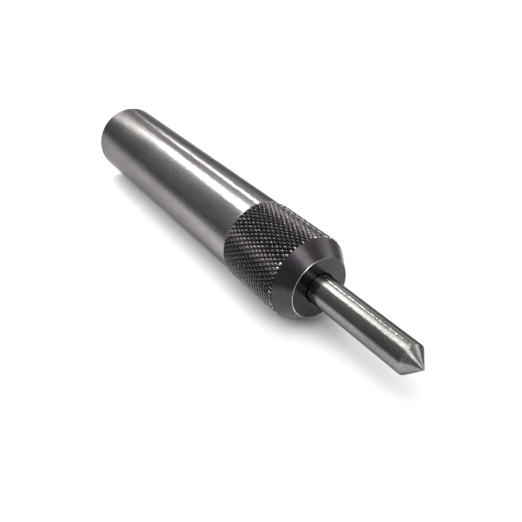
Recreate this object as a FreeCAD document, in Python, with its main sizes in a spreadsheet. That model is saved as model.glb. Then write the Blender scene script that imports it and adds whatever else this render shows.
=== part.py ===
"""Spring-loaded centre punch with a plain shank, as a parametric assembly of turned parts.

Frame: millimetres, +X along the tool from the shank's rear face to the point, +Z up, origin on the axis
at the rear face.
"""

import FreeCAD, Part
import math
import os

import Sketcher

doc = FreeCAD.newDocument("CentrePunch")

# ---------------------------------------------------------------- driving dimensions

SIZES = [
    # the shank, which is also the barrel of the mechanism
    ("shank_dia", 16.0),
    ("shank_length", 58.5),
    ("shank_edge_radius", 0.3),
    ("spigot_length", 8.5),
    ("spigot_wall", 1.7),
    ("relief_depth", 0.7),
    ("relief_width", 1.2),
    ("thread_chamfer", 0.5),
    # the knurled collar
    ("knurl_proud", 0.3),
    ("knurl_length", 15.1),
    ("collar_chamfer", 0.3),
    ("cone_length", 3.5),
    ("nose_face_dia", 11.8),
    ("nose_edge_radius", 0.12),
    ("nose_wall", 2.1),
    ("nose_hole_clearance", 0.12),
    # the guide bush clamped in the collar
    ("bush_dia", 9.0),
    ("bush_flange_gap", 0.5),
    ("bush_flange_width", 1.6),
    # the punch pin
    ("pin_dia", 5.6),
    ("pin_reach", 21.6),
    ("point_angle", 90.0),
    ("point_flat_dia", 0.2),
    ("pin_flange_width", 2.5),
    ("stem_dia", 2.5),
    ("stem_grip", 7.0),
    # the blow: stroke of the punch, slope of the cam that trips the catch
    ("trip_stroke", 7.0),
    ("cam_slope", 0.15),
    ("strike_margin", 0.4),
    # the hammer
    ("hammer_dia", 8.4),
    ("hammer_length", 26.0),
    ("hammer_chamfer", 0.3),
    ("hammer_lead", 11.0),
    ("hammer_tail_dia", 4.6),
    ("hammer_tail_length", 2.0),
    ("spring_pocket_depth", 6.0),
    # the release catch, a block in the hammer's cross slot
    ("catch_thickness", 4.0),
    ("catch_width", 4.2),
    ("catch_drop", 1.9),
    ("catch_floor_gap", 0.2),
    # the stop sleeve in front of the catch
    ("sleeve_setback", 0.8),
    ("lip_overlap", 0.2),
    # the force adjustment in the shank's rear end
    ("adjuster_step", 0.8),
    ("adjuster_length", 6.0),
    ("adjuster_travel", 2.0),
    ("adjuster_chamfer", 0.6),
    ("hex_across_flats", 5.0),
    ("hex_depth", 3.5),
    ("seat_flange_width", 2.0),
    ("seat_spigot_dia", 4.8),
    ("seat_spigot_length", 3.0),
    ("ring_setback", 1.0),
    ("ring_width", 1.0),
    ("ring_section", 1.0),
    ("ring_depth", 0.45),
    ("ring_gap", 2.4),
    ("ring_lug_dia", 2.2),
    ("ring_lug_hole_dia", 1.0),
    # springs
    ("main_wire_dia", 1.3),
    ("main_coils", 7.5),
    ("return_wire_dia", 0.5),
    ("return_spring_dia", 5.0),
    ("return_coils", 9.0),
    ("catch_wire_dia", 0.22),
    ("catch_spring_dia", 1.7),
    ("catch_spring_coils", 4.5),
    ("catch_spring_seat", 0.55),
    ("catch_spring_pocket", 0.9),
    # clearances
    ("slide_clearance", 0.05),
    ("pin_clearance", 0.03),
    ("thread_clearance", 0.05),
    ("seat_gap", 0.05),
    ("stop_gap", 0.1),
    ("stem_clearance", 0.1),
]

sheet = doc.addObject("Spreadsheet::Sheet", "Sizes")


class Size:
    """A number together with the spreadsheet expression that it comes from."""

    def __init__(self, number, text):
        self.number = number
        self.text = text

    def __add__(self, other):
        other = as_size(other)
        return Size(self.number + other.number, f"({self.text} + {other.text})")

    def __sub__(self, other):
        other = as_size(other)
        return Size(self.number - other.number, f"({self.text} - {other.text})")

    def __mul__(self, other):
        other = as_size(other)
        return Size(self.number * other.number, f"({self.text} * {other.text})")

    def __truediv__(self, other):
        other = as_size(other)
        return Size(self.number / other.number, f"({self.text} / {other.text})")


def as_size(value):
    return value if isinstance(value, Size) else Size(float(value), repr(float(value)))


def half_angle_tangent(angle):
    """Tangent of half of an angle in degrees."""
    return Size(math.tan(math.radians(angle.number / 2)), f"tan({angle.text} * 1 deg / 2)")


def square_root(size):
    return Size(math.sqrt(size.number), f"sqrt({size.text})")


def smaller(one, other):
    return Size(min(one.number, other.number), f"min({one.text}; {other.text})")


given = {}
for row, (alias, number) in enumerate(SIZES, start=1):
    sheet.set(f"A{row}", alias)
    sheet.set(f"B{row}", str(number))
    sheet.setAlias(f"B{row}", alias)
    given[alias] = Size(number, "Sizes." + alias)
doc.recompute()

# ---------------------------------------------------------------- derived radii

shank_r = given["shank_dia"] / 2
knurl_r = shank_r + given["knurl_proud"]
pin_r = given["pin_dia"] / 2
stem_r = given["stem_dia"] / 2
stem_bore_r = stem_r + given["stem_clearance"]
hammer_r = given["hammer_dia"] / 2
hammer_bore_r = hammer_r + given["slide_clearance"]
catch_shift = given["trip_stroke"] * given["cam_slope"]
front_bore_r = hammer_bore_r + catch_shift
spigot_r = front_bore_r + given["spigot_wall"]
lip_r = hammer_r - given["lip_overlap"]
pin_flange_r = lip_r - given["stop_gap"]
return_spring_r = given["return_spring_dia"] / 2
pocket_r = return_spring_r + given["return_wire_dia"] / 2 + given["stem_clearance"] * 2
collar_bore_r = spigot_r + given["thread_clearance"]
bush_flange_r = spigot_r - given["bush_flange_gap"]
adjuster_r = hammer_r + given["adjuster_step"]
adjuster_bore_r = adjuster_r + given["thread_clearance"]
main_spring_r = hammer_r - given["main_wire_dia"] / 2 - given["stem_clearance"]

# ---------------------------------------------------------------- derived places along X

barrel_front = given["shank_length"] + given["spigot_length"]
knurl_front = given["shank_length"] + given["knurl_length"]
nose_face = knurl_front + given["cone_length"]
pin_shoulder = nose_face + given["pin_reach"]
point_length = (pin_r - given["point_flat_dia"] / 2) / half_angle_tangent(given["point_angle"])
point_end = pin_shoulder + point_length

bush_rear = barrel_front + given["seat_gap"]
bush_shoulder = bush_rear + given["bush_flange_width"]
nose_inner = nose_face - given["nose_wall"]

flange_front = bush_rear - given["seat_gap"]
flange_rear = flange_front - given["pin_flange_width"]
hammer_front = flange_rear - given["trip_stroke"] + given["strike_margin"]
hammer_rear = hammer_front - given["hammer_length"]
catch_front = hammer_front - given["hammer_lead"]
catch_rear = catch_front - given["catch_thickness"]
pocket_floor = hammer_front - given["spring_pocket_depth"]
lip_rear = hammer_front + given["stop_gap"]
sleeve_rear = catch_front + given["sleeve_setback"]
cam_front = catch_rear
cam_rear = cam_front - given["trip_stroke"]
stem_rear = catch_front + given["stop_gap"]
stem_front = flange_rear + given["stem_grip"]

ring_rear = given["ring_setback"]
ring_front = ring_rear + given["ring_width"]
groove_front = ring_front + given["seat_gap"]
adjuster_rear = groove_front + given["stop_gap"]
adjuster_front = adjuster_rear + given["adjuster_length"]
seat_rear = adjuster_front + given["seat_gap"]
seat_front = seat_rear + given["seat_flange_width"]
adjuster_bore_end = seat_front + given["adjuster_travel"] + given["stop_gap"]

# heights of the catch at rest, above the tool's axis
catch_bottom = as_size(0) - given["catch_drop"]
slot_floor = catch_bottom - catch_shift - given["catch_floor_gap"]
catch_spring_bottom = slot_floor - given["catch_spring_seat"]
catch_spring_top = catch_bottom + given["catch_spring_pocket"]
catch_spring_pocket_r = (
    given["catch_spring_dia"] / 2 + given["catch_wire_dia"] / 2 + given["stem_clearance"]
)

nodes = {}


# ---------------------------------------------------------------- builders


def bind(thing, name, size):
    """Ties one property of an object to the spreadsheet."""
    thing.setExpression(name, size.text)


def keep(label, thing):
    """Gives a finished sub-part its label and lists it for export."""
    thing.Label = label
    nodes[label] = thing
    return thing


def origin_plane(body, role):
    return next(f for f in body.Origin.OriginFeatures if f.Role == role)


def new_body(name):
    return doc.addObject("PartDesign::Body", name)


def sketch_on(body, name, role):
    sketch = body.newObject("Sketcher::SketchObject", name)
    sketch.AttachmentSupport = [(origin_plane(body, role), "")]
    sketch.MapMode = "FlatFace"
    return sketch


def pin_point(sketch, line, across, up):
    """Ties the start of a sketch line to its place: across and up from the sketch's origin."""
    for kind, axis, place in (("DistanceX", -2, across), ("DistanceY", -1, up)):
        if place.number == 0:
            sketch.addConstraint(Sketcher.Constraint("PointOnObject", line, 1, axis))
            continue
        added = sketch.addConstraint(Sketcher.Constraint(kind, -1, 1, line, 1, place.number))
        bind(sketch, f"Constraints[{added}]", place)


def polygon(sketch, corners):
    """A closed outline through corners, each held by two dimensions."""
    corners = [(as_size(a), as_size(b)) for a, b in corners]
    points = [FreeCAD.Vector(a.number, b.number, 0) for a, b in corners]
    lines = [
        sketch.addGeometry(Part.LineSegment(start, end), False)
        for start, end in zip(points, points[1:] + points[:1])
    ]
    for line, following in zip(lines, lines[1:] + lines[:1]):
        sketch.addConstraint(Sketcher.Constraint("Coincident", line, 2, following, 1))
    for line, (across, up) in zip(lines, corners):
        pin_point(sketch, line, across, up)


def circle(sketch, radius, across, up):
    """A circle whose radius and centre are held by dimensions."""
    centre = FreeCAD.Vector(across.number, up.number, 0)
    drawn = sketch.addGeometry(Part.Circle(centre, FreeCAD.Vector(0, 0, 1), radius.number), False)
    added = sketch.addConstraint(Sketcher.Constraint("Radius", drawn, radius.number))
    bind(sketch, f"Constraints[{added}]", radius)
    for kind, axis, place in (("DistanceX", -2, across), ("DistanceY", -1, up)):
        if place.number == 0:
            sketch.addConstraint(Sketcher.Constraint("PointOnObject", drawn, 3, axis))
            continue
        added = sketch.addConstraint(Sketcher.Constraint(kind, -1, 1, drawn, 3, place.number))
        bind(sketch, f"Constraints[{added}]", place)


def turned(name, outline):
    """A body turned on the X axis from its half section, given as (x, radius) corners."""
    body = new_body(name)
    section = sketch_on(body, name + "_section", "XZ_Plane")
    polygon(section, outline)
    turning = body.newObject("PartDesign::Revolution", name + "_turning")
    turning.Profile = section
    turning.ReferenceAxis = (section, ["H_Axis"])
    turning.Angle = 360
    body.Tip = turning
    return body


def round_edge(body, name, place, edge_r, radius):
    """Rounds the turned edge at one place along X and one distance from the axis."""
    doc.recompute()
    before = body.Tip
    found = [
        f"Edge{number}"
        for number, edge in enumerate(before.Shape.Edges, start=1)
        if isinstance(edge.Curve, Part.Circle)
        and abs(edge.Curve.Center.x - place.number) < 1e-6
        and abs(edge.Curve.Radius - edge_r.number) < 1e-6
    ]
    rounding = body.newObject("PartDesign::Fillet", name)
    rounding.Base = (before, found)
    bind(rounding, "Radius", radius)
    body.Tip = rounding


def rod(name, rear, front, radius, across=0, up=0):
    """A plain cylinder that lies along X."""
    across, up = as_size(across), as_size(up)
    piece = doc.addObject("Part::Cylinder", name)
    bind(piece, "Radius", radius)
    bind(piece, "Height", front - rear)
    piece.Placement = FreeCAD.Placement(
        FreeCAD.Vector(rear.number, across.number, up.number),
        FreeCAD.Rotation(FreeCAD.Vector(0, 1, 0), 90),
    )
    bind(piece, "Placement.Base.x", rear)
    bind(piece, "Placement.Base.y", across)
    bind(piece, "Placement.Base.z", up)
    return piece


def block(name, corner, extent):
    """A box with its lowest corner and its three lengths given."""
    piece = doc.addObject("Part::Box", name)
    for axis, place in zip("xyz", corner):
        bind(piece, "Placement.Base." + axis, as_size(place))
    for side, length in zip(("Length", "Width", "Height"), extent):
        bind(piece, side, as_size(length))
    return piece


def cut(name, base, tool):
    result = doc.addObject("Part::Cut", name)
    result.Base = base
    result.Tool = tool
    return result


def pocket(body, name, sketch, depth, reversed_side):
    """Takes a sketch's area out of a body, to a depth or right through."""
    feature = body.newObject("PartDesign::Pocket", name)
    feature.Profile = sketch
    feature.Reversed = reversed_side
    if depth is None:
        feature.Type = "ThroughAll"
    else:
        bind(feature, "Length", depth)
    body.Tip = feature
    return feature


def coil(name, role, axis, middle_r, wire_r, start, length, coils):
    """The helix of a compression spring, from the middle of its first to the middle of its last wire."""
    body = new_body(name)
    wire = sketch_on(body, name + "_wire", role)
    if axis == "H_Axis":
        circle(wire, wire_r, start, middle_r)
    else:
        circle(wire, wire_r, middle_r, start)
    helix = body.newObject("PartDesign::AdditiveHelix", name + "_helix")
    helix.Profile = wire
    helix.ReferenceAxis = (wire, [axis])
    helix.Mode = "pitch-height-angle"
    bind(helix, "Pitch", length / coils)
    bind(helix, "Height", length)
    body.Tip = helix
    return body


def ground(name, spring, blank):
    """A spring with its two ends ground flat: what is left of it inside a blank."""
    result = doc.addObject("Part::Common", name)
    result.Base = spring
    result.Tool = blank
    return result


# ---------------------------------------------------------------- sub-parts


def make_barrel():
    """The ground shank: stepped bore, cam taper, rear thread and ring groove, front spigot."""
    relief_r = spigot_r - given["relief_depth"]
    relief_end = given["shank_length"] + given["relief_width"]
    groove_r = adjuster_bore_r + given["ring_depth"]
    mouth = given["ring_setback"] / 2
    outline = [
        (0, adjuster_bore_r + mouth),
        (0, shank_r),
        (given["shank_length"], shank_r),
        (given["shank_length"], relief_r),
        (relief_end, relief_r),
        (relief_end, spigot_r),
        (barrel_front - given["thread_chamfer"], spigot_r),
        (barrel_front, spigot_r - given["thread_chamfer"]),
        (barrel_front, front_bore_r),
        (cam_front, front_bore_r),
        (cam_rear, hammer_bore_r),
        (adjuster_bore_end, hammer_bore_r),
        (adjuster_bore_end, adjuster_bore_r),
        (groove_front, adjuster_bore_r),
        (groove_front, groove_r),
        (ring_rear, groove_r),
        (ring_rear, adjuster_bore_r),
        (mouth, adjuster_bore_r),
    ]
    body = turned("barrel_turned", outline)
    round_edge(body, "barrel_rear_edge", as_size(0), shank_r, given["shank_edge_radius"])
    return keep("barrel", body)


def make_stop_sleeve():
    """Pressed into the front bore: guides the hammer's nose, and its lip stops the hammer."""
    outline = [
        (sleeve_rear, hammer_bore_r),
        (sleeve_rear, front_bore_r),
        (barrel_front, front_bore_r),
        (barrel_front, lip_r),
        (lip_rear, lip_r),
        (lip_rear, hammer_bore_r),
    ]
    return keep("stop_sleeve", turned("stop_sleeve_turned", outline))


def make_collar():
    """The knurled collar, plain here at the knurl's full diameter, with its conical nose."""
    rear = given["shank_length"] + given["seat_gap"]
    shoulder = bush_shoulder + given["seat_gap"]
    edge = smaller(given["collar_chamfer"], (knurl_r - collar_bore_r) / 4)
    nose_hole_r = pin_r + given["nose_hole_clearance"]
    bush_bore_r = given["bush_dia"] / 2 + given["slide_clearance"]
    outline = [
        (rear, collar_bore_r + edge),
        (rear, knurl_r - edge),
        (rear + edge, knurl_r),
        (knurl_front, knurl_r),
        (nose_face, given["nose_face_dia"] / 2),
        (nose_face, nose_hole_r),
        (nose_inner, nose_hole_r),
        (nose_inner, bush_bore_r),
        (shoulder, bush_bore_r),
        (shoulder, collar_bore_r),
        (rear + edge, collar_bore_r),
    ]
    body = turned("knurled_collar_turned", outline)
    face_r = given["nose_face_dia"] / 2
    round_edge(body, "collar_nose_edge", nose_face, face_r, given["nose_edge_radius"])
    return keep("knurled_collar", body)


def make_guide_bush():
    """The flanged bush that the pin slides in, clamped between the collar and the barrel."""
    outline = [
        (bush_rear, pin_r + given["pin_clearance"]),
        (bush_rear, bush_flange_r),
        (bush_shoulder, bush_flange_r),
        (bush_shoulder, given["bush_dia"] / 2),
        (nose_inner - given["stop_gap"], given["bush_dia"] / 2),
        (nose_inner - given["stop_gap"], pin_r + given["pin_clearance"]),
    ]
    return keep("guide_bush", turned("guide_bush_turned", outline))


def make_punch_pin():
    """The punch: point, ground pin, stop flange, and a blind hole for the stem."""
    outline = [
        (flange_rear, stem_r),
        (flange_rear, pin_flange_r),
        (flange_front, pin_flange_r),
        (flange_front, pin_r),
        (pin_shoulder, pin_r),
        (point_end, given["point_flat_dia"] / 2),
        (point_end, 0),
        (stem_front, 0),
        (stem_front, stem_r),
    ]
    return keep("punch_pin", turned("punch_pin_turned", outline))


def make_drive_stem():
    """The hardened stem pressed into the punch, which pushes on the catch."""
    edge = given["stem_clearance"] * 2
    outline = [
        (stem_rear, 0),
        (stem_rear, stem_r - edge),
        (stem_rear + edge, stem_r),
        (stem_front, stem_r),
        (stem_front, 0),
    ]
    return keep("drive_stem", turned("drive_stem_turned", outline))


def make_hammer():
    """The hammer: through bore for the stem, spring pocket, rear tail and cross slot for the catch."""
    edge = given["hammer_chamfer"]
    tail_r = given["hammer_tail_dia"] / 2
    outline = [
        (hammer_rear - given["hammer_tail_length"], stem_bore_r),
        (hammer_rear - given["hammer_tail_length"], tail_r),
        (hammer_rear, tail_r),
        (hammer_rear, hammer_r - edge),
        (hammer_rear + edge, hammer_r),
        (hammer_front - edge, hammer_r),
        (hammer_front, hammer_r - edge),
        (hammer_front, pocket_r),
        (pocket_floor, pocket_r),
        (pocket_floor, stem_bore_r),
    ]
    body = turned("hammer_turned", outline)
    half_slot = given["catch_width"] / 2 + given["slide_clearance"]
    slot = sketch_on(body, "hammer_slot_sketch", "XY_Plane")
    bind(slot, "AttachmentOffset.Base.z", slot_floor)
    polygon(
        slot,
        [
            (catch_rear - given["slide_clearance"], as_size(0) - half_slot),
            (catch_front + given["slide_clearance"], as_size(0) - half_slot),
            (catch_front + given["slide_clearance"], half_slot),
            (catch_rear - given["slide_clearance"], half_slot),
        ],
    )
    pocket(body, "hammer_slot", slot, None, True)
    seat = sketch_on(body, "hammer_spring_seat_sketch", "XY_Plane")
    bind(seat, "AttachmentOffset.Base.z", slot_floor)
    circle(seat, catch_spring_pocket_r, (catch_rear + catch_front) / 2, as_size(0))
    pocket(body, "hammer_spring_seat", seat, given["catch_spring_seat"], False)
    return keep("hammer", body)


def make_catch():
    """The release catch: a block with a rounded top and a hole that lines up when it is pushed in."""
    middle = (catch_rear + catch_front) / 2
    top_r = hammer_r - given["slide_clearance"]
    width = given["catch_width"]
    blank = block(
        "catch_blank",
        (catch_rear, as_size(0) - width / 2, catch_bottom),
        (given["catch_thickness"], width, catch_shift + given["catch_drop"] + top_r),
    )
    rounding = rod("catch_rounding", catch_rear, catch_front, top_r, 0, catch_shift)
    rounded = doc.addObject("Part::Common", "catch_rounded")
    rounded.Base = blank
    rounded.Tool = rounding
    hole = rod("catch_hole", catch_rear, catch_front, stem_bore_r, 0, catch_shift)
    drilled = cut("catch_drilled", rounded, hole)
    socket = doc.addObject("Part::Cylinder", "catch_spring_socket")
    bind(socket, "Radius", catch_spring_pocket_r)
    bind(socket, "Height", given["catch_spring_pocket"])
    bind(socket, "Placement.Base.x", middle)
    bind(socket, "Placement.Base.z", catch_bottom)
    return keep("release_catch", cut("catch_finished", drilled, socket))


def make_spring_seat():
    """Carries the mainspring's rear end and slides in front of the adjusting screw."""
    flange_r = adjuster_bore_r - given["slide_clearance"] * 2
    spigot_end = seat_front + given["seat_spigot_length"]
    outline = [
        (seat_rear, 0),
        (seat_rear, flange_r),
        (seat_front, flange_r),
        (seat_front, given["seat_spigot_dia"] / 2),
        (spigot_end, given["seat_spigot_dia"] / 2),
        (spigot_end, 0),
    ]
    return keep("spring_seat", turned("spring_seat_turned", outline))


def make_adjusting_screw():
    """The force adjuster: a threaded plug with a hexagon socket, plain at its full diameter."""
    edge = given["adjuster_chamfer"]
    outline = [
        (adjuster_rear, 0),
        (adjuster_rear, adjuster_r - edge),
        (adjuster_rear + edge, adjuster_r),
        (adjuster_front - edge, adjuster_r),
        (adjuster_front, adjuster_r - edge),
        (adjuster_front, 0),
    ]
    plug = turned("adjusting_plug", outline)
    socket = doc.addObject("Part::Prism", "adjusting_socket")
    socket.Polygon = 6
    bind(socket, "Circumradius", given["hex_across_flats"] / math.sqrt(3))
    bind(socket, "Height", given["hex_depth"])
    socket.Placement = FreeCAD.Placement(
        FreeCAD.Vector(adjuster_rear.number, 0, 0),
        FreeCAD.Rotation(FreeCAD.Vector(0, 1, 0), 90),
    )
    bind(socket, "Placement.Base.x", adjuster_rear)
    return keep("adjusting_screw", cut("adjusting_screw_cut", plug, socket))


def make_retaining_ring():
    """The internal ring behind the adjusting screw, open at the bottom between two drilled lugs."""
    outer_r = adjuster_bore_r + given["ring_depth"] - given["slide_clearance"]
    inner_r = outer_r - given["ring_section"]
    lug_r = given["ring_lug_dia"] / 2
    lug_across = given["ring_gap"] / 2 + lug_r
    lug_reach = outer_r - lug_r
    lug_up = as_size(0) - square_root(lug_reach * lug_reach - lug_across * lug_across)
    disc = rod("ring_disc", ring_rear, ring_front, outer_r)
    hoop = cut("ring_hoop", disc, rod("ring_opening", ring_rear, ring_front, inner_r))
    gap = block(
        "ring_gap_cut",
        (ring_rear, as_size(0) - given["ring_gap"] / 2, as_size(0) - outer_r),
        (given["ring_width"], given["ring_gap"], outer_r),
    )
    ring = cut("ring_open", hoop, gap)
    for side, name in ((-1, "left"), (1, "right")):
        lug = rod("ring_lug_" + name, ring_rear, ring_front, lug_r, lug_across * side, lug_up)
        joined = doc.addObject("Part::Fuse", "ring_with_" + name)
        joined.Base = ring
        joined.Tool = lug
        hole_r = given["ring_lug_hole_dia"] / 2
        hole = rod("ring_hole_" + name, ring_rear, ring_front, hole_r, lug_across * side, lug_up)
        ring = cut("ring_drilled_" + name, joined, hole)
    return keep("retaining_ring", ring)


def make_mainspring():
    length = hammer_rear - seat_front
    wire_r = given["main_wire_dia"] / 2
    spring = coil(
        "mainspring_coil", "XZ_Plane", "H_Axis", main_spring_r, wire_r, seat_front, length,
        given["main_coils"],
    )
    blank = rod("mainspring_blank", seat_front, hammer_rear, main_spring_r * 2)
    return keep("mainspring", ground("mainspring_ground", spring, blank))


def make_return_spring():
    length = flange_rear - pocket_floor
    wire_r = given["return_wire_dia"] / 2
    spring = coil(
        "return_coil", "XZ_Plane", "H_Axis", return_spring_r, wire_r, pocket_floor, length,
        given["return_coils"],
    )
    blank = rod("return_blank", pocket_floor, flange_rear, return_spring_r * 2)
    return keep("return_spring", ground("return_ground", spring, blank))


def make_catch_spring():
    """The small upright spring that holds the catch out; it is moved along X to the catch's middle."""
    middle = (catch_rear + catch_front) / 2
    length = catch_spring_top - catch_spring_bottom
    spring = coil(
        "catch_coil", "XZ_Plane", "V_Axis", given["catch_spring_dia"] / 2, given["catch_wire_dia"] / 2,
        catch_spring_bottom, length, given["catch_spring_coils"],
    )
    bind(spring, "Placement.Base.x", middle)
    blank = doc.addObject("Part::Cylinder", "catch_spring_blank")
    bind(blank, "Radius", given["catch_spring_dia"])
    bind(blank, "Height", length)
    bind(blank, "Placement.Base.x", middle)
    bind(blank, "Placement.Base.z", catch_spring_bottom)
    return keep("catch_spring", ground("catch_spring_ground", spring, blank))


# ---------------------------------------------------------------- assembly, checks and export


def check_document():
    """Stops if any object failed, or a sub-part is not one valid closed solid."""
    failed = [o.Name for o in doc.Objects if {"Invalid", "Error"} & set(o.State)]
    if failed:
        raise RuntimeError(f"these objects failed: {failed}")
    for label, thing in nodes.items():
        shape = thing.Shape
        if shape.isNull() or not shape.isValid() or len(shape.Solids) != 1:
            raise RuntimeError(f"{label} is not one valid solid")
        print(f"{label:16s} {shape.Volume:9.2f} mm3, x {shape.BoundBox.XMin:7.2f} to {shape.BoundBox.XMax:7.2f}")


def export():
    os.makedirs("parts", exist_ok=True)
    for label, thing in nodes.items():
        thing.Shape.exportStep(os.path.join("parts", label + ".step"))


make_barrel()
make_stop_sleeve()
make_collar()
make_guide_bush()
make_punch_pin()
make_drive_stem()
make_hammer()
make_catch()
make_spring_seat()
make_adjusting_screw()
make_retaining_ring()
make_mainspring()
make_return_spring()
make_catch_spring()
doc.recompute()
check_document()
export()
print(f"{len(nodes)} sub-parts, {point_end.number:.2f} mm over all")
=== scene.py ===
import bpy
from math import cos, pi, radians, sin
from mathutils import Matrix, Vector


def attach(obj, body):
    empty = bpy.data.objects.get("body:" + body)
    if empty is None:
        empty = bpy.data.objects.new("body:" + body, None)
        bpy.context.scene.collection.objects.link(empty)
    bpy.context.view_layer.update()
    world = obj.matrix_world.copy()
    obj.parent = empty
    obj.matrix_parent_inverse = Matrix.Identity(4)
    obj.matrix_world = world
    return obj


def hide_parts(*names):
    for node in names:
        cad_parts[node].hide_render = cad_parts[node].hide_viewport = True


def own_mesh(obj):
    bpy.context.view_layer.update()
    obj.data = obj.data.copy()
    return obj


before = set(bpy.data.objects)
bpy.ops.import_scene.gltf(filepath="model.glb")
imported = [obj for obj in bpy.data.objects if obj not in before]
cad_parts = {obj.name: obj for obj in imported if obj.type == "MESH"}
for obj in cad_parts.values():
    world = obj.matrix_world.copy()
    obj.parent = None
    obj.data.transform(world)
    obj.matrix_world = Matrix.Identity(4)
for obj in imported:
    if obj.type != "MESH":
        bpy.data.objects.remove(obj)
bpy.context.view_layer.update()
bpy.ops.object.select_all(action="DESELECT")
mm = 0.001
print("frame loaded")


def newFinish(name):
    finish = bpy.data.materials.new(name)
    finish.use_nodes = True
    nodes, links = finish.node_tree.nodes, finish.node_tree.links
    place = nodes.new("ShaderNodeTexCoord")
    return finish, nodes, links, nodes["Principled BSDF"], place.outputs["Object"]


def grain(nodes, links, place, scale, detail, roughness):
    mapping = nodes.new("ShaderNodeMapping")
    mapping.inputs["Scale"].default_value = scale
    links.new(place, mapping.inputs["Vector"])
    noise = nodes.new("ShaderNodeTexNoise")
    noise.inputs["Scale"].default_value = 1
    noise.inputs["Detail"].default_value = detail
    noise.inputs["Roughness"].default_value = roughness
    links.new(mapping.outputs["Vector"], noise.inputs["Vector"])
    return noise.outputs["Fac"]


def between(nodes, links, value, low, high, lowOut, highOut):
    spread = nodes.new("ShaderNodeMapRange")
    for socket, number in zip(("From Min", "From Max", "To Min", "To Max"), (low, high, lowOut, highOut)):
        spread.inputs[socket].default_value = number
    links.new(value, spread.inputs["Value"])
    return spread.outputs["Result"]


def blendColours(nodes, links, share, one, other):
    mix = nodes.new("ShaderNodeMix")
    mix.data_type = "RGBA"
    for socket, colour in (("A", one), ("B", other)):
        if isinstance(colour, tuple):
            mix.inputs[socket].default_value = (*colour, 1)
        else:
            links.new(colour, mix.inputs[socket])
    links.new(share, mix.inputs["Factor"])
    return mix.outputs["Result"]


def mathNode(nodes, links, operation, one, other):
    step = nodes.new("ShaderNodeMath")
    step.operation = operation
    for socket, value in zip(step.inputs, (one, other)):
        if isinstance(value, (int, float)):
            socket.default_value = value
        else:
            links.new(value, socket)
    return step.outputs[0]


# two values added up, each times its own share
def weighed(nodes, links, one, oneShare, other, otherShare):
    first = mathNode(nodes, links, "MULTIPLY", one, oneShare)
    second = mathNode(nodes, links, "MULTIPLY", other, otherShare)
    return mathNode(nodes, links, "ADD", first, second)


def relief(nodes, links, shader, height):
    bump = nodes.new("ShaderNodeBump")
    bump.inputs["Strength"].default_value = 1
    bump.inputs["Distance"].default_value = 0.00001    # metres for a height of 1
    links.new(height, bump.inputs["Height"])
    links.new(bump.outputs["Normal"], shader.inputs["Normal"])


camera = {
    "turn": 55.738,        # degrees round the tool, from straight in front
    "rise": 34.163,        # degrees above the floor
    "lens": 43.536,
    "distance": 126.48,    # mm from the camera to the middle of the tool
    "slide": -4.766,       # mm that the tool stands right of the middle
    "lift": 7.61,          # mm that it stands above the middle
    "middle": 50.70,       # mm along the tool
    "nearest": 0.01,       # metres, where its view begins
}


# the direction from the tool to a place that is turned round it and raised above the floor, in degrees
def towards(turn, rise):
    turn, rise = radians(turn), radians(rise)
    return Vector((sin(turn) * cos(rise), -cos(turn) * cos(rise), sin(rise)))


def addCamera(c):
    turn = radians(c["turn"])
    back = towards(c["turn"], c["rise"])
    right = Vector((cos(turn), sin(turn), 0))
    up = back.cross(right)
    place = Vector((c["middle"], 0, 0)) + c["distance"] * back - c["slide"] * right - c["lift"] * up
    bpy.ops.object.camera_add()
    eye = bpy.context.object
    eye.name = "mainCamera"
    eye.matrix_world = Matrix.Translation(place * mm) @ Matrix((right, up, back)).transposed().to_4x4()
    eye.data.lens = c["lens"]
    eye.data.clip_start = c["nearest"]
    bpy.context.scene.camera = eye


floorLook = {
    "height": -8.33,       # mm, just under the collar
    "size": 4.0,           # metres
    "colour": (0.50, 0.50, 0.50),
    "roughness": 0.65,
    "gloss": 0.2,
    # painted reflection: how pale the floor is painted for glossy rays, near the tool and far from it, and
    # how many metres from the axis
    "nearPaintedReflection": 1.25, "near": 0.020,
    "farPaintedReflection": 0.25, "far": 0.065,
}


def addFloor(c):
    bpy.ops.mesh.primitive_plane_add(size=c["size"], location=(0, 0, c["height"] * mm))
    floor = bpy.context.object
    floor.name = "floor"
    paint, nodes, links, shader, place = newFinish("palePaint")
    shader.inputs["Roughness"].default_value = c["roughness"]
    shader.inputs["Specular IOR Level"].default_value = c["gloss"]
    # painted reflection: for glossy rays only, the floor's colour is scaled by its distance from the tool's
    # axis, paler close by and darker away, so the steel mirrors a bright floor only near the tool
    split = nodes.new("ShaderNodeSeparateXYZ")
    links.new(place, split.inputs[0])
    aside = mathNode(nodes, links, "ABSOLUTE", split.outputs["Y"], 0)
    share = between(nodes, links, aside, c["near"], c["far"], c["nearPaintedReflection"], c["farPaintedReflection"])
    path = nodes.new("ShaderNodeLightPath")
    change = mathNode(nodes, links, "SUBTRACT", share, 1)
    change = mathNode(nodes, links, "MULTIPLY", change, path.outputs["Is Glossy Ray"])
    paintedReflection = nodes.new("ShaderNodeVectorMath")
    paintedReflection.operation = "SCALE"
    paintedReflection.inputs[0].default_value = c["colour"]
    links.new(mathNode(nodes, links, "ADD", change, 1), paintedReflection.inputs["Scale"])
    links.new(paintedReflection.outputs[0], shader.inputs["Base Color"])
    floor.data.materials.append(paint)


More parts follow.
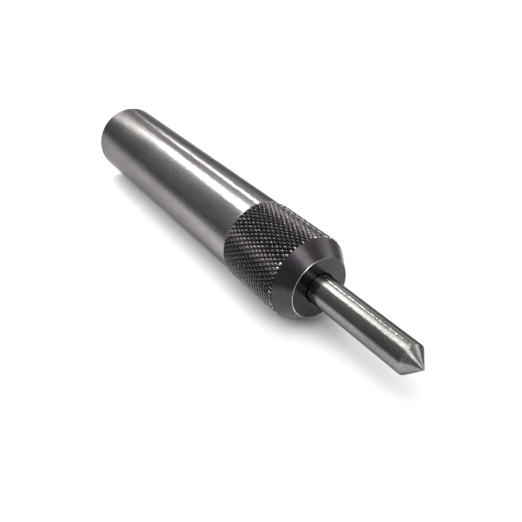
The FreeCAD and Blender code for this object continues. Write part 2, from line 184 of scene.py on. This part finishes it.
studio = {
    "wall": (1.0, 1.0, 1.0),
    # angle round the tool's axis from straight up, towards the camera's side, and brightness there
    "behind": [
        (-180, 0.9), (-112, 0.7), (-96, 0.42), (-80, 0.70), (-68, 1.05), (-60, 1.15), (-53, 1.25),
        (-46, 0.95), (-38, 0.90), (-30, 1.0), (-24, 1.3), (-18, 2.4), (-11, 4.4), (-4, 3.4), (4, 1.5),
        (10, 1.0), (16, 0.75), (30, 0.48), (50, 0.33), (75, 0.24), (92, 0.18), (110, 0.5), (180, 0.9),
    ],
    "before": [
        (-180, 1.2), (-104, 2.0), (-88, 0.7), (-78, 0.9), (-72, 2.9), (-62, 2.7), (-50, 1.6), (-38, 0.8),
        (-22, 0.8), (-13, 1.0), (-6, 3.6), (11, 5.0), (17, 2.0), (28, 0.7), (60, 0.35), (92, 0.5),
        (180, 1.4),
    ],
    "changeFrom": -0.35,   # where along X the light behind gives way to the light before
    "changeTo": 0.15,
}

# soft boxes that show as bands in the steel: both ends of the middle line in metres, width, brightness
softBoxes = {
    "wideBox": {"ends": ((-0.780, 0.1400, 0.3210), (0.030, -0.0640, 0.3441)), "width": 0.118, "level": 3.4},
    "stripBox": {"ends": ((-0.700, 0.320, 0.167), (-0.045, 0.190, 0.294)), "width": 0.016, "level": 20.0},
}

# a soft fill from the camera's side for the floor, which the steel doesn't mirror
fill = {"turn": -20, "rise": 48, "softness": 60, "strength": 3.8}


# brightness round the axis as a ramp, as shares of the brightest stop
def bandRamp(nodes, links, share, band, brightest):
    ramp = nodes.new("ShaderNodeValToRGB")
    stops = ramp.color_ramp.elements
    while len(stops) > 1:
        stops.remove(stops[-1])
    for number, (turn, level) in enumerate(band):
        position = (turn + 180) / 360
        stop = stops[0] if number == 0 else stops.new(position)
        stop.position = position
        stop.color = (*[level / brightest] * 3, 1)
    links.new(share, ramp.inputs["Fac"])
    return ramp.outputs["Color"]


def addLight(c):
    world = bpy.data.worlds.new("studio")
    bpy.context.scene.world = world
    world.use_nodes = True
    nodes, links = world.node_tree.nodes, world.node_tree.links
    background = nodes["Background"]
    direction = nodes.new("ShaderNodeTexCoord")
    split = nodes.new("ShaderNodeSeparateXYZ")
    links.new(direction.outputs["Generated"], split.inputs[0])
    across = mathNode(nodes, links, "MULTIPLY", split.outputs["Y"], -1)
    angle = mathNode(nodes, links, "ARCTAN2", across, split.outputs["Z"])
    share = between(nodes, links, angle, -pi, pi, 0, 1)
    brightest = max(level for _, level in c["behind"] + c["before"])
    behind, before = (bandRamp(nodes, links, share, c[band], brightest) for band in ("behind", "before"))
    change = nodes.new("ShaderNodeMapRange")
    change.interpolation_type = "SMOOTHSTEP"
    change.inputs["From Min"].default_value = c["changeFrom"]
    change.inputs["From Max"].default_value = c["changeTo"]
    links.new(split.outputs["X"], change.inputs["Value"])
    light = blendColours(nodes, links, change.outputs["Result"], behind, before)
    links.new(light, background.inputs["Color"])
    background.inputs["Strength"].default_value = brightest
    # what lies behind the floor's edge is a plain pale wall, and the bands only light the tool
    wall = nodes.new("ShaderNodeBackground")
    wall.inputs["Color"].default_value = (*c["wall"], 1)
    path = nodes.new("ShaderNodeLightPath")
    choice = nodes.new("ShaderNodeMixShader")
    links.new(path.outputs["Is Camera Ray"], choice.inputs["Fac"])
    links.new(background.outputs["Background"], choice.inputs[1])
    links.new(wall.outputs["Background"], choice.inputs[2])
    links.new(choice.outputs["Shader"], nodes["World Output"].inputs["Surface"])
    bpy.context.scene.view_settings.view_transform = "Standard"


def addSoftBox(name, c):
    start, end = Vector(c["ends"][0]), Vector(c["ends"][1])
    along = (end - start).normalized()
    away = (start + end).normalized()      # it faces the tool, so its back points away from there
    across = away.cross(along).normalized()
    away = along.cross(across)
    length = (end - start).length
    bpy.ops.object.light_add(type="AREA")
    box = bpy.context.object
    box.name = name
    box.data.shape = "RECTANGLE"
    box.data.size = length
    box.data.size_y = c["width"]
    box.data.energy = pi * length * c["width"] * c["level"]
    facing = Matrix((along, across, away)).transposed().to_4x4()
    box.matrix_world = Matrix.Translation((start + end) / 2) @ facing


def addFill(c):
    bpy.ops.object.light_add(type="SUN")
    lamp = bpy.context.object
    lamp.name = "floorFill"
    lamp.data.angle = radians(c["softness"])
    lamp.data.energy = c["strength"]
    lamp.rotation_euler = towards(c["turn"], c["rise"]).to_track_quat("Z", "Y").to_euler()
    lamp.visible_glossy = False


addCamera(camera)
addFloor(floorLook)
addLight(studio)
for name, c in softBoxes.items():
    addSoftBox(name, c)
addFill(fill)
print("camera, floor and light ready")


# for each steel: colour and its darker variation, roughness from and to, stretch of the highlights along the
# axis, scratches per metre along and across, and how deep the scratches and the fine grain are
steels = {
    "groundSteel": {
        "light": (0.335, 0.326, 0.319), "dark": (0.245, 0.237, 0.232), "smooth": 0.09, "dull": 0.17,
        "stretch": 1.0, "along": 2600, "across": 70, "depth": 0.3, "grainDepth": 2.4,
    },
    "polishedSteel": {
        "light": (0.225, 0.220, 0.211), "dark": (0.160, 0.155, 0.149), "smooth": 0.09, "dull": 0.17,
        "stretch": 1.0, "along": 3600, "across": 160, "depth": 0.3, "grainDepth": 1.8,
    },
    "turnedSteel": {
        "light": (0.30, 0.294, 0.282), "dark": (0.24, 0.234, 0.222), "smooth": 0.24, "dull": 0.36,
        "stretch": 0.6, "along": 5200, "across": 60, "depth": 0.3, "grainDepth": 0.1,
    },
    "hardenedSteel": {
        "light": (0.22, 0.216, 0.207), "dark": (0.16, 0.157, 0.153), "smooth": 0.26, "dull": 0.40,
        "stretch": 0.4, "along": 6500, "across": 400, "depth": 0.2, "grainDepth": 0.2,
    },
    "springSteel": {
        "light": (0.20, 0.19, 0.172), "dark": (0.12, 0.114, 0.105), "smooth": 0.25, "dull": 0.42,
        "stretch": 0.0, "along": 900, "across": 900, "depth": 0.1, "grainDepth": 0.2,
    },
}

# what all steels share: the grain's and the patches' scale per metre, and the colour at a glancing angle
steelGrain = {
    "specks": (1700, 2600, 2600),
    "clouds": (90, 210, 210),
    "cloudShare": 0.55,        # of the colour's change, the specks make the rest
    "scratchShare": 0.6,       # of the roughness's change, the clouds make the rest
    "colourFrom": 0.38, "colourTo": 0.62,
    "roughFrom": 0.35, "roughTo": 0.65,
    "glancing": (0.36, 0.35, 0.35),
}


def steelFinish(name, c, shared):
    finish, nodes, links, shader, place = newFinish(name)
    scratches = grain(nodes, links, place, (c["along"], c["across"], c["across"]), detail=3, roughness=0.6)
    specks = grain(nodes, links, place, shared["specks"], detail=2, roughness=0.6)
    clouds = grain(nodes, links, place, shared["clouds"], detail=3, roughness=0.55)
    mottled = weighed(nodes, links, clouds, shared["cloudShare"], specks, 1 - shared["cloudShare"])
    mottled = between(nodes, links, mottled, shared["colourFrom"], shared["colourTo"], 0, 1)
    links.new(blendColours(nodes, links, mottled, c["light"], c["dark"]), shader.inputs["Base Color"])
    uneven = weighed(nodes, links, scratches, shared["scratchShare"], clouds, 1 - shared["scratchShare"])
    rough = between(nodes, links, uneven, shared["roughFrom"], shared["roughTo"], c["smooth"], c["dull"])
    links.new(rough, shader.inputs["Roughness"])
    shader.inputs["Metallic"].default_value = 1
    shader.inputs["Specular Tint"].default_value = (*shared["glancing"], 1)
    if c["stretch"]:
        shader.inputs["Anisotropic"].default_value = c["stretch"]
        shader.inputs["Anisotropic Rotation"].default_value = 0.25    # a quarter turn, so along the axis
        tangent = nodes.new("ShaderNodeTangent")
        tangent.direction_type = "RADIAL"
        tangent.axis = "X"
        links.new(tangent.outputs["Tangent"], shader.inputs["Tangent"])
    relief(nodes, links, shader, weighed(nodes, links, scratches, c["depth"], specks, c["grainDepth"]))
    return finish


blackOxide = {
    "black": (0.047, 0.041, 0.047),
    "tint": (0.056, 0.057, 0.057),
    "worn": (0.72, 0.67, 0.65),
    "flank": (0.056, 0.049, 0.050),    # the knurl's sides, where the coat is thin
    # painted shade: the near-black colour painted into the knurl's grooves for the shade in them
    "valley": (0.004, 0.004, 0.004),
    # mm along the tool
    "knurlFrom": 58.6, "knurlTo": 73.9,
    "edgeFrom": 73.35,     # where the last peaks are cut by the cone and shine
    "rimAt": 77.045,       # where the nose's worn rim begins
    # mm from the axis
    "outside": 7.85,       # the bores lie inside of it and have no knurl
    "valleyFrom": 8.0, "valleyTo": 8.10,         # where the painted shade in the grooves fades out, from full to none
    "wornFrom": 8.22, "wornTo": 8.30,            # where the peaks begin to show steel
    "edgeWornFrom": 8.08, "edgeWornTo": 8.14,    # and where the cut ones do
    "rimRadius": 5.835,
    # noise: scale per metre, detail, roughness, and from where to where it goes from its least to 1
    "patches": {"scale": 1100, "detail": 3, "roughness": 0.7, "from": 0.45, "to": 0.64, "least": 0},
    "stretches": {"scale": 160, "detail": 2, "roughness": 0.6, "from": 0.42, "to": 0.62, "least": 0.1},
    "clouds": {"scale": 230, "detail": 3, "roughness": 0.65, "from": 0.42, "to": 0.66, "least": 0},
    "turning": (7000, 50, 50),    # marks of the lathe
    "pits": (3500, 3500, 3500),
    "turningDepth": 0.07, "pitDepth": 0.3,
    "smooth": 0.16, "dull": 0.28,                # roughness from and to
    "roughFrom": 0.3, "roughTo": 0.7,            # the noise that it goes with
    "knurlSmooth": 0.10,
}


def blackFinish(name, c):
    finish, nodes, links, shader, place = newFinish(name)

    def maths(operation, one, other):
        return mathNode(nodes, links, operation, one, other)

    def spots(s):
        noise = grain(nodes, links, place, (s["scale"],) * 3, s["detail"], s["roughness"])
        return between(nodes, links, noise, s["from"], s["to"], s["least"], 1)

    flat = nodes.new("ShaderNodeMapping")
    flat.inputs["Scale"].default_value = (0, 1 / mm, 1 / mm)
    links.new(place, flat.inputs["Vector"])
    reach = nodes.new("ShaderNodeVectorMath")
    reach.operation = "LENGTH"
    links.new(flat.outputs["Vector"], reach.inputs[0])
    radius = reach.outputs["Value"]
    split = nodes.new("ShaderNodeSeparateXYZ")
    links.new(place, split.inputs[0])
    along = maths("MULTIPLY", split.outputs["X"], 1 / mm)
    onKnurl = maths("MULTIPLY", maths("GREATER_THAN", along, c["knurlFrom"]),
                    maths("LESS_THAN", along, c["knurlTo"]))
    onKnurl = maths("MULTIPLY", onKnurl, maths("GREATER_THAN", radius, c["outside"]))

    # each diamond wears a little differently, and the rim only here and there
    peaks = between(nodes, links, radius, c["wornFrom"], c["wornTo"], 0, 1)
    cutPeaks = between(nodes, links, radius, c["edgeWornFrom"], c["edgeWornTo"], 0, 1)
    cutPeaks = maths("MULTIPLY", onKnurl, cutPeaks)
    cutPeaks = maths("MULTIPLY", cutPeaks, maths("GREATER_THAN", along, c["edgeFrom"]))
    rim = maths("MULTIPLY", maths("GREATER_THAN", along, c["rimAt"]), spots(c["stretches"]))
    rim = maths("MULTIPLY", rim, maths("GREATER_THAN", radius, c["rimRadius"]))
    worn = maths("MULTIPLY", maths("MAXIMUM", peaks, cutPeaks), spots(c["patches"]))
    worn = maths("MAXIMUM", worn, rim)
    # painted shade: the knurl's grooves are painted near black towards their floor, standing in for the shade
    # in the recesses
    paintedGrooveShade = maths("MULTIPLY", onKnurl, between(nodes, links, radius, c["valleyFrom"], c["valleyTo"], 1, 0))
    coat = blendColours(nodes, links, spots(c["clouds"]), c["black"], c["tint"])
    coat = blendColours(nodes, links, onKnurl, coat, c["flank"])
    coat = blendColours(nodes, links, paintedGrooveShade, coat, c["valley"])
    links.new(blendColours(nodes, links, worn, coat, c["worn"]), shader.inputs["Base Color"])
    shader.inputs["Metallic"].default_value = 1
    turning = grain(nodes, links, place, c["turning"], detail=2, roughness=0.6)
    pits = grain(nodes, links, place, c["pits"], detail=2, roughness=0.6)
    rough = between(nodes, links, turning, c["roughFrom"], c["roughTo"], c["smooth"], c["dull"])
    rough = maths("SUBTRACT", rough, maths("MULTIPLY", onKnurl, c["smooth"] - c["knurlSmooth"]))
    links.new(rough, shader.inputs["Roughness"])
    relief(nodes, links, shader, weighed(nodes, links, turning, c["turningDepth"], pits, c["pitDepth"]))
    return finish


finishes = {name: steelFinish(name, c, steelGrain) for name, c in steels.items()}
finishes["blackOxide"] = blackFinish("blackOxide", blackOxide)
print("finishes ready")


def pick(piece):
    bpy.ops.object.select_all(action="DESELECT")
    piece.select_set(True)
    bpy.context.view_layer.objects.active = piece


def editing(piece, everything=True):
    pick(piece)
    bpy.ops.object.mode_set(mode="EDIT")
    bpy.ops.mesh.select_mode(type="EDGE")
    if everything:
        bpy.ops.mesh.select_all(action="SELECT")


def doneEditing():
    bpy.ops.object.mode_set(mode="OBJECT")


def faceOutwards():
    bpy.ops.mesh.select_all(action="SELECT")
    bpy.ops.mesh.normals_make_consistent(inside=False)


def applyModifier(piece, kind, **settings):
    modifier = piece.modifiers.new(kind.lower(), kind)
    for setting, value in settings.items():
        setattr(modifier, setting, value)
    pick(piece)
    bpy.ops.object.modifier_apply(modifier=modifier.name)


# the piece keeps what it shares with the other one, or loses it
def trim(piece, operation, other):
    applyModifier(piece, "BOOLEAN", operation=operation, object=other, solver="EXACT")
    bpy.data.objects.remove(other)


def selectOnly(piece, wanted):
    for item in (piece.data.vertices, piece.data.edges, piece.data.polygons):
        item.foreach_set("select", [False] * len(item))
    for edge in piece.data.edges:
        edge.select = wanted(edge)


def ring(name, place, radius, segments):
    bpy.ops.object.select_all(action="DESELECT")
    bpy.ops.mesh.primitive_circle_add(vertices=segments, radius=radius * mm,
                                      location=(place * mm, 0, 0), rotation=(0, pi / 2, 0))
    piece = bpy.context.object
    piece.name = name
    bpy.ops.object.transform_apply(location=True, rotation=True, scale=True)
    return piece


def stretchAlong(distance):
    bpy.ops.mesh.extrude_edges_move(TRANSFORM_OT_translate={"value": (distance * mm, 0, 0)})


# one face over the open end whose ring lies at this place along the axis
def capEnd(piece, place):
    near = 0.01    # mm

    def atEnd(edge):
        return all(abs(piece.data.vertices[v].co.x - place * mm) < near * mm for v in edge.vertices)

    selectOnly(piece, atEnd)
    editing(piece, everything=False)
    bpy.ops.mesh.edge_face_add()
    doneEditing()


pole = 0.0004          # mm, a ring on the axis this small merges into one vertex
merged = 0.000001      # metres between vertices that become one
onPlane = 0.0000001    # metres from a cut within which a vertex counts as on it


# a turned piece: its section is walked round, each stop an extruded and scaled ring
def turned(name, section, segments):
    start, radius = section[0]
    piece = ring(name, start, radius, segments)
    editing(piece)
    for (x, r), (nextX, nextR) in zip(section, section[1:] + section[:1]):
        stretchAlong(nextX - x)
        bpy.ops.transform.resize(value=(1, nextR / r, nextR / r), center_override=(nextX * mm, 0, 0))
    bpy.ops.mesh.select_all(action="SELECT")
    bpy.ops.mesh.remove_doubles(threshold=merged)
    bpy.ops.mesh.delete_loose()
    faceOutwards()
    doneEditing()
    return piece


def finishPiece(piece, body, node, finish, smoothTo=30):
    pick(piece)
    bpy.ops.object.shade_smooth_by_angle(angle=radians(smoothTo))
    piece.data.materials.clear()
    piece.data.materials.append(finishes[finish])
    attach(piece, body)
    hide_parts(node)


collar = {
    "rear": 58.55, "edge": 0.3, "boreRadius": 7.05, "shoulder": 68.70, "bushRadius": 4.55,
    "noseInner": 75.0, "holeRadius": 2.92, "holeEdge": 0.08, "noseFace": 77.1, "faceRadius": 5.9,
    "knurlEnd": 73.6, "peakRadius": 8.3, "valleyRadius": 7.97, "segments": 112,
    "rim": 0.07,
    "rimRound": (0.35, 0.1, 0.5),    # where its facets meet, as shares of the rim
    "diamondsRound": 56, "diamondRows": 13, "diamondLength": 1.6, "peakWidth": 0.345, "softness": 0.02,
    "overhang": 0.9,       # that the knurled bar is longer at the rear, before it is cut
    "spare": 0.01,         # that the blank is wider than the peaks
    "softFrom": 20,        # degrees, sharper edges of the knurl are softened
}


def knurledBar(c):
    bar = ring("knurledBar", c["rear"] - c["overhang"], c["valleyRadius"], c["diamondsRound"])
    editing(bar)
    for row in range(c["diamondRows"]):
        stretchAlong(c["diamondLength"])
    faceOutwards()
    doneEditing()
    squares = set(range(len(bar.data.vertices)))
    editing(bar)
    bpy.ops.mesh.poke()
    doneEditing()
    # the squares' own edges go, and the triangles on either side of each join into a diamond
    faces = {}
    for face in bar.data.polygons:
        for key in face.edge_keys:
            faces[key] = faces.get(key, 0) + 1
    selectOnly(bar, lambda edge: squares.issuperset(edge.vertices) and faces[edge.key] == 2)
    editing(bar, everything=False)
    bpy.ops.mesh.dissolve_edges(use_verts=False)
    bpy.ops.mesh.select_mode(type="FACE")
    bpy.ops.mesh.select_all(action="SELECT")
    height = c["peakRadius"] - c["valleyRadius"]
    bpy.ops.mesh.inset(use_individual=True, use_boundary=True, thickness=c["peakWidth"] * mm,
                       depth=height * mm)
    doneEditing()
    rear = c["rear"] - c["overhang"]
    capEnd(bar, rear)
    capEnd(bar, rear + c["diamondRows"] * c["diamondLength"])
    editing(bar)
    faceOutwards()
    doneEditing()
    applyModifier(bar, "BEVEL", width=c["softness"] * mm, segments=1, limit_method="ANGLE",
                  angle_limit=radians(c["softFrom"]))
    return bar


def makeCollar(c):
    bar = knurledBar(c)
    slope = (c["peakRadius"] - c["faceRadius"]) / (c["noseFace"] - c["knurlEnd"])
    rim = c["rim"]
    back, out, inward = c["rimRound"]
    piece = turned("knurledCollar", [
        (c["rear"] + c["edge"], c["boreRadius"]),
        (c["rear"], c["boreRadius"] + c["edge"]),
        (c["rear"], c["peakRadius"] - c["edge"]),
        (c["rear"] + c["edge"], c["peakRadius"] + c["spare"]),
        (c["knurlEnd"], c["peakRadius"] + c["spare"]),
        (c["noseFace"] - rim, c["faceRadius"] + rim * slope),
        (c["noseFace"] - rim * back, c["faceRadius"] + rim * slope * out),
        (c["noseFace"], c["faceRadius"] - rim * inward),
        (c["noseFace"], c["holeRadius"] + c["holeEdge"]),
        (c["noseFace"] - c["holeEdge"], c["holeRadius"]),
        (c["noseInner"], c["holeRadius"]),
        (c["noseInner"], c["bushRadius"]),
        (c["shoulder"], c["bushRadius"]),
        (c["shoulder"], c["boreRadius"]),
    ], c["segments"])
    trim(piece, "INTERSECT", bar)
    editing(piece)
    bpy.ops.mesh.remove_doubles(threshold=merged)
    doneEditing()
    finishPiece(piece, "collar", "knurled_collar", "blackOxide")


makeCollar(collar)
print("collar ready")


barrel = {
    "length": 58.5, "radius": 8.0, "rearEdge": 0.3, "frontEdge": 0.15, "segments": 144,
    "edgeRound": (0.13, 0.5),    # where the rear edge's facets meet, as shares of the edge
    "reliefRadius": 6.3, "reliefEnd": 59.7, "spigotEnd": 67.0, "frontBore": 5.3,
    "threadRoot": 6.42, "threadCrest": 7.0, "threadChamfer": 0.5, "threadRunIn": 0.45, "pitch": 1.0,
    "rootRunIn": 0.12, "rootEdge": 0.1,
    "crestWidth": 0.14, "rootWidth": 0.88, "stepsPerTurn": 56,
    "sunk": 0.06, "proud": 0.02,                # that the ridge reaches past its root and its crest
    "before": 1.4, "after": 1.2,                # and past the thread's ends, before it is trimmed
    "sleeveBore": 6.0,
    "camFront": 42.9, "camRear": 35.9, "hammerBore": 4.25,
    "adjusterBore": 5.05, "adjusterBoreEnd": 12.3, "grooveRadius": 5.5, "grooveFrom": 1.0, "grooveTo": 2.05,
    "mouth": 0.5,
}


# one ridge that winds round the spigot, trimmed to the spigot's own length and chamfer
def threadRidge(c):
    start = c["reliefEnd"] - c["before"]
    bpy.ops.object.select_all(action="DESELECT")
    bpy.ops.mesh.primitive_circle_add(vertices=4, radius=mm)
    ridge = bpy.context.object
    ridge.name = "threadRidge"
    root, crest = c["threadRoot"] - c["sunk"], c["threadCrest"] + c["proud"]
    halfRoot, halfCrest = c["rootWidth"] / 2, c["crestWidth"] / 2
    corners = [(-halfRoot, root), (-halfCrest, crest), (halfCrest, crest), (halfRoot, root)]
    for vertex, (x, r) in zip(ridge.data.vertices, corners):
        vertex.co = ((start + x) * mm, 0, r * mm)
    turns = (c["spigotEnd"] - start + c["after"]) / c["pitch"]
    steps = int(c["stepsPerTurn"] * turns)
    applyModifier(ridge, "SCREW", axis="X", angle=2 * pi * turns, screw_offset=turns * c["pitch"] * mm,
                  steps=steps, render_steps=steps, use_merge_vertices=False)
    editing(ridge)
    bpy.ops.mesh.select_all(action="DESELECT")
    bpy.ops.mesh.select_non_manifold()
    bpy.ops.mesh.fill_holes(sides=len(corners))
    faceOutwards()
    doneEditing()
    sleeve = turned("threadSleeve", [
        (c["reliefEnd"], c["sleeveBore"]),
        (c["reliefEnd"], c["threadCrest"] - c["threadRunIn"]),
        (c["reliefEnd"] + c["threadRunIn"], c["threadCrest"]),
        (c["spigotEnd"] - c["threadChamfer"], c["threadCrest"]),
        (c["spigotEnd"], c["threadCrest"] - c["threadChamfer"]),
        (c["spigotEnd"], c["sleeveBore"]),
    ], 2 * c["stepsPerTurn"])
    trim(ridge, "INTERSECT", sleeve)
    return ridge


# the shank: its section goes along the outside and back through the bores
def makeBarrel(c):
    rear, front = c["rearEdge"], c["frontEdge"]
    less, more = c["edgeRound"]
    piece = turned("threadedBarrel", [
        (0, c["adjusterBore"] + c["mouth"]),
        (0, c["radius"] - rear),
        (rear * less, c["radius"] - rear * more),
        (rear * more, c["radius"] - rear * less),
        (rear, c["radius"]),
        (c["length"] - front, c["radius"]),
        (c["length"], c["radius"] - front),
        (c["length"], c["reliefRadius"]),
        (c["reliefEnd"], c["reliefRadius"]),
        (c["reliefEnd"] + c["rootRunIn"], c["threadRoot"]),
        (c["spigotEnd"] - c["rootEdge"], c["threadRoot"]),
        (c["spigotEnd"], c["threadRoot"] - c["rootEdge"]),
        (c["spigotEnd"], c["frontBore"]),
        (c["camFront"], c["frontBore"]),
        (c["camRear"], c["hammerBore"]),
        (c["adjusterBoreEnd"], c["hammerBore"]),
        (c["adjusterBoreEnd"], c["adjusterBore"]),
        (c["grooveTo"], c["adjusterBore"]),
        (c["grooveTo"], c["grooveRadius"]),
        (c["grooveFrom"], c["grooveRadius"]),
        (c["grooveFrom"], c["adjusterBore"]),
        (c["mouth"], c["adjusterBore"]),
    ], c["segments"])
    ridge = threadRidge(c)
    pick(piece)
    ridge.select_set(True)
    bpy.ops.object.join()
    finishPiece(piece, "shank", "barrel", "groundSteel")


makeBarrel(barrel)
print("barrel ready")


punch = {
    "flangeFrom": 64.5, "flangeTo": 67.0, "flangeRadius": 3.9, "radius": 2.8, "shoulder": 98.7,
    "tip": 101.4, "stemRadius": 1.25, "stemHole": 71.5, "edge": 0.12, "segments": 96,
    "shoulderRound": ((-0.8, 0), (-0.2, 0.12), (0.4, 0.52)),     # along and inwards, as shares of the edge
    "tipRound": ((-0.13, 0.18), (-0.04, 0.10), (0, 0.04)),       # mm along from the tip, and radius
}


def makePunch(c):
    edge = c["edge"]
    piece = turned("punchPin", [
        (c["flangeFrom"], c["stemRadius"] + edge),
        (c["flangeFrom"], c["flangeRadius"] - edge),
        (c["flangeFrom"] + edge, c["flangeRadius"]),
        (c["flangeTo"] - edge, c["flangeRadius"]),
        (c["flangeTo"], c["flangeRadius"] - edge),
        (c["flangeTo"], c["radius"]),
        *[(c["shoulder"] + edge * along, c["radius"] - edge * inward)
          for along, inward in c["shoulderRound"]],
        *[(c["tip"] + along, radius) for along, radius in c["tipRound"]],
        (c["tip"], pole),
        (c["stemHole"], pole),
        (c["stemHole"], c["stemRadius"]),
        (c["flangeFrom"] + edge, c["stemRadius"]),
    ], c["segments"])
    finishPiece(piece, "punch", "punch_pin", "polishedSteel")


makePunch(punch)
print("punch ready")


adjuster = {
    "rear": 2.15, "front": 8.15, "radius": 5.0, "rootRadius": 4.45, "edge": 0.15, "segments": 96,
    "pitch": 1.0, "ridges": 5,
    "crestFrom": 0.42, "crestTo": 0.56, "ridgeTo": 0.98,    # mm from where a ridge begins
    "flats": 6, "acrossFlats": 5.0, "socketDepth": 3.5, "drillDepth": 4.1, "drillPoint": 0.02,
    "overhang": 0.5,       # that the key stands out of the socket
    "lead": 0.35, "leadOverhang": 0.2, "leadWider": 0.25, "leadNarrower": 0.30, "leadSegments": 48,
}


# what is cut out for the key: its flats, and the point of the drill at their end
def hexKey(c, corner):
    key = ring("hexKey", c["rear"] - c["overhang"], corner, c["flats"])
    bottom = c["rear"] + c["drillDepth"]
    editing(key)
    stretchAlong(c["overhang"] + c["socketDepth"])
    stretchAlong(c["drillDepth"] - c["socketDepth"])
    bpy.ops.transform.resize(value=(1, c["drillPoint"], c["drillPoint"]), center_override=(bottom * mm, 0, 0))
    doneEditing()
    capEnd(key, c["rear"] - c["overhang"])
    capEnd(key, bottom)
    editing(key)
    faceOutwards()
    doneEditing()
    return key


# the plug has a thread's ridges on it, and a lead-in to its socket
def makeAdjuster(c):
    plug = [(c["rear"], pole), (c["rear"], c["rootRadius"] - c["edge"])]
    for number in range(c["ridges"]):
        x = c["rear"] + c["edge"] + number * c["pitch"]
        plug += [(x, c["rootRadius"]), (x + c["crestFrom"], c["radius"]), (x + c["crestTo"], c["radius"]),
                 (x + c["ridgeTo"], c["rootRadius"])]
    plug += [(c["front"] - c["edge"], c["rootRadius"]), (c["front"], c["rootRadius"] - c["edge"]),
             (c["front"], pole)]
    piece = turned("adjustingScrew", plug, c["segments"])
    corner = c["acrossFlats"] / 2 / cos(pi / c["flats"])
    trim(piece, "DIFFERENCE", hexKey(c, corner))
    leadFrom, leadTo = c["rear"] - c["leadOverhang"], c["rear"] + c["lead"]
    lead = turned("socketLead", [
        (leadFrom, pole), (leadFrom, corner + c["leadWider"]), (leadTo, corner - c["leadNarrower"]),
        (leadTo, pole),
    ], c["leadSegments"])
    trim(piece, "DIFFERENCE", lead)
    finishPiece(piece, "adjuster", "adjusting_screw", "blackOxide")


makeAdjuster(adjuster)
print("adjusting screw ready")


# springs: a round of wire is extruded step by step round the axis, and each end has one closed coil, ground
# flat; the driving spring is cut into two lengths, the rear one meant to be shortened by the adjusting screw,
# the front one by the hammer; nothing here shortens them, a length tied to a joint only gets a mesh of its
# own
springs = {
    "mainspring": {
        "axis": "X", "coilRadius": 3.45, "wireRadius": 0.65, "coils": 7.5, "sides": 12, "body": "shank",
        "from": 10.2, "to": 31.9,
        "lengths": [
            {"name": "drivingSpringRear", "from": 10.2, "to": 16.4,
             "joint": "adjuster_travel", "anchor": 16.4, "keep": 0.677},
            {"name": "drivingSpring", "from": 16.4, "to": 31.9,
             "joint": "hammer_slide", "anchor": 16.4, "keep": 0.548},
        ],
    },
    "return_spring": {
        "axis": "X", "coilRadius": 2.5, "wireRadius": 0.25, "coils": 9, "sides": 8, "body": "striker",
        "from": 51.9, "to": 64.5,
        "lengths": [{"name": "returnSpring", "from": 51.9, "to": 64.5, "joint": None}],
    },
    "catch_spring": {
        "axis": "Z", "across": 44.9, "coilRadius": 0.85, "wireRadius": 0.11, "coils": 4.5, "sides": 8,
        "body": "striker", "from": -3.7, "to": -1.0,
        "lengths": [
            {"name": "catchSpring", "from": -3.7, "to": -1.0,
             "joint": "catch_slide", "anchor": -3.7, "keep": 0.611},
        ],
    },
}

winding = {
    "stepsPerTurn": 24,
    "closed": 1.02,        # rise of a closed coil, in wire diameters
    "ground": 0.6,         # how much of the wire's radius is ground off at each end
}


def windCoil(c, w):
    perTurn = w["stepsPerTurn"]
    steps = round(c["coils"] * perTurn)
    wire = c["wireRadius"]
    endRise = 2 * wire * w["closed"] / perTurn
    grind = wire * w["ground"]
    length = c["to"] - c["from"]
    middleRise = (length - 2 * wire + 2 * grind - 2 * perTurn * endRise) / (steps - 2 * perTurn)
    bpy.ops.object.select_all(action="DESELECT")
    bpy.ops.mesh.primitive_circle_add(vertices=c["sides"], radius=wire * mm, fill_type="NGON",
                                      location=((c["from"] + wire - grind) * mm, 0, c["coilRadius"] * mm))
    coil = bpy.context.object
    coil.rotation_euler = (pi / 2, 0, 0)
    bpy.ops.object.transform_apply(location=True, rotation=True, scale=True)
    editing(coil)
    bpy.ops.mesh.select_mode(type="FACE")
    bpy.ops.mesh.select_all(action="SELECT")
    for step in range(steps):
        rise = endRise if step < perTurn or step >= steps - perTurn else middleRise
        bpy.ops.mesh.extrude_region_move(TRANSFORM_OT_translate={"value": (rise * mm, 0, 0)})
        bpy.ops.transform.rotate(value=2 * pi / perTurn, orient_axis="X", center_override=(0, 0, 0))
    doneEditing()
    return coil


# a copy of the coil, cut flat at both of its ends
def cutLength(coil, part):
    pick(coil)
    bpy.ops.object.duplicate()
    piece = bpy.context.object
    piece.name = part["name"]
    editing(piece)
    for place, outer in ((part["from"], False), (part["to"], True)):
        bpy.ops.mesh.select_all(action="SELECT")
        bpy.ops.mesh.bisect(plane_co=(place * mm, 0, 0), plane_no=(1, 0, 0), threshold=onPlane,
                            use_fill=True, clear_inner=not outer, clear_outer=outer)
    faceOutwards()
    doneEditing()
    return piece


def makeSpring(node, c, w):
    coil = windCoil(c, w)
    upright = c["axis"] == "Z"
    for part in c["lengths"]:
        piece = cutLength(coil, part)
        if upright:
            piece.rotation_euler = (0, -pi / 2, 0)
            piece.location = (c["across"] * mm, 0, 0)
            bpy.ops.object.transform_apply(location=True, rotation=True, scale=True)
        finishPiece(piece, c["body"], node, "springSteel", smoothTo=50)
        if part["joint"]:
            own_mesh(piece)
    bpy.data.objects.remove(coil)


for node, c in springs.items():
    makeSpring(node, c, winding)
print("springs ready")


# the CAD nodes that stay
looks = {
    "stop_sleeve": "turnedSteel", "guide_bush": "turnedSteel", "drive_stem": "polishedSteel",
    "hammer": "hardenedSteel", "release_catch": "hardenedSteel", "spring_seat": "turnedSteel",
    "retaining_ring": "springSteel",
}

for node, finish in looks.items():
    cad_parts[node].data.materials.clear()
    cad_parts[node].data.materials.append(finishes[finish])
print("every node has its finish")
